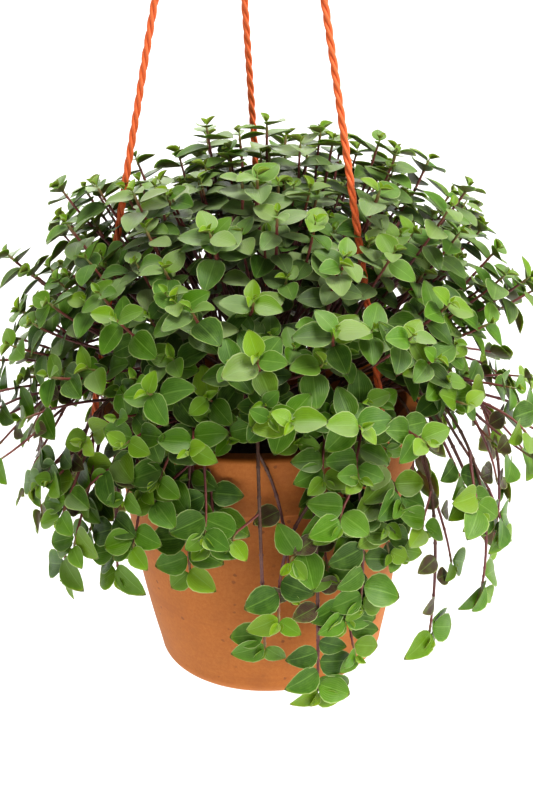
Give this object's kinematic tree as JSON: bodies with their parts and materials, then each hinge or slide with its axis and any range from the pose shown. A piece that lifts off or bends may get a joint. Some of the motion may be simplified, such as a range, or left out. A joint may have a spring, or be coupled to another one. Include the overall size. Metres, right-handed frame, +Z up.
{
  "type": "potted turtle vine",
  "caption": "Trailing turtle vine in a collared terracotta pot that hangs on three twisted ropes from a loop.",
  "frame": {"origin": "bearing point of the hanging loop: the underside of its rope at the top of the loop, on the pot's axis, where a hook carries the whole thing", "axes": "+Z up along the pot's axis, -Y towards the viewer of the picture, +X to the viewer's right"},
  "size_m": [0.3926, 0.3503, 0.7273],
  "materials": {
    "terracotta": "matte",
    "potting_soil": "matte",
    "rope": "matte",
    "foliage": "satin"
  },
  "bodies": {
    "root": {"gather_knot": "rope", "hang_loop": "rope", "leafy_shoot_01": "foliage", "leafy_shoot_02": "foliage", "leafy_shoot_03": "foliage", "leafy_shoot_04": "foliage", "leafy_shoot_05": "foliage", "leafy_shoot_06": "foliage", "leafy_shoot_07": "foliage", "leafy_shoot_08": "foliage", "leafy_shoot_09": "foliage", "leafy_shoot_10": "foliage", "leafy_shoot_11": "foliage", "leafy_shoot_12": "foliage", "leafy_shoot_13": "foliage", "leafy_shoot_14": "foliage", "leafy_shoot_15": "foliage", "leafy_shoot_16": "foliage", "leafy_shoot_17": "foliage", "leafy_shoot_18": "foliage", "leafy_shoot_19": "foliage", "leafy_shoot_20": "foliage", "leafy_shoot_21": "foliage", "leafy_shoot_22": "foliage", "leafy_shoot_23": "foliage", "leafy_shoot_24": "foliage", "leafy_shoot_25": "foliage", "leafy_shoot_26": "foliage", "leafy_shoot_27": "foliage", "leafy_shoot_28": "foliage", "pot": "terracotta", "rope_back": "rope", "rope_left": "rope", "rope_right": "rope", "soil": "potting_soil", "stop_knot_back": "rope", "stop_knot_left": "rope", "stop_knot_right": "rope", "trailing_shoot_01": "foliage", "trailing_shoot_02": "foliage", "trailing_shoot_03": "foliage", "trailing_shoot_04": "foliage", "trailing_shoot_05": "foliage", "trailing_shoot_06": "foliage", "trailing_shoot_07": "foliage", "trailing_shoot_08": "foliage", "trailing_shoot_09": "foliage", "trailing_shoot_10": "foliage", "trailing_shoot_11": "foliage", "trailing_shoot_12": "foliage", "trailing_shoot_13": "foliage", "trailing_shoot_14": "foliage", "trailing_shoot_15": "foliage", "trailing_shoot_16": "foliage", "trailing_shoot_17": "foliage", "trailing_shoot_18": "foliage"}
  },
  "joints": []
}
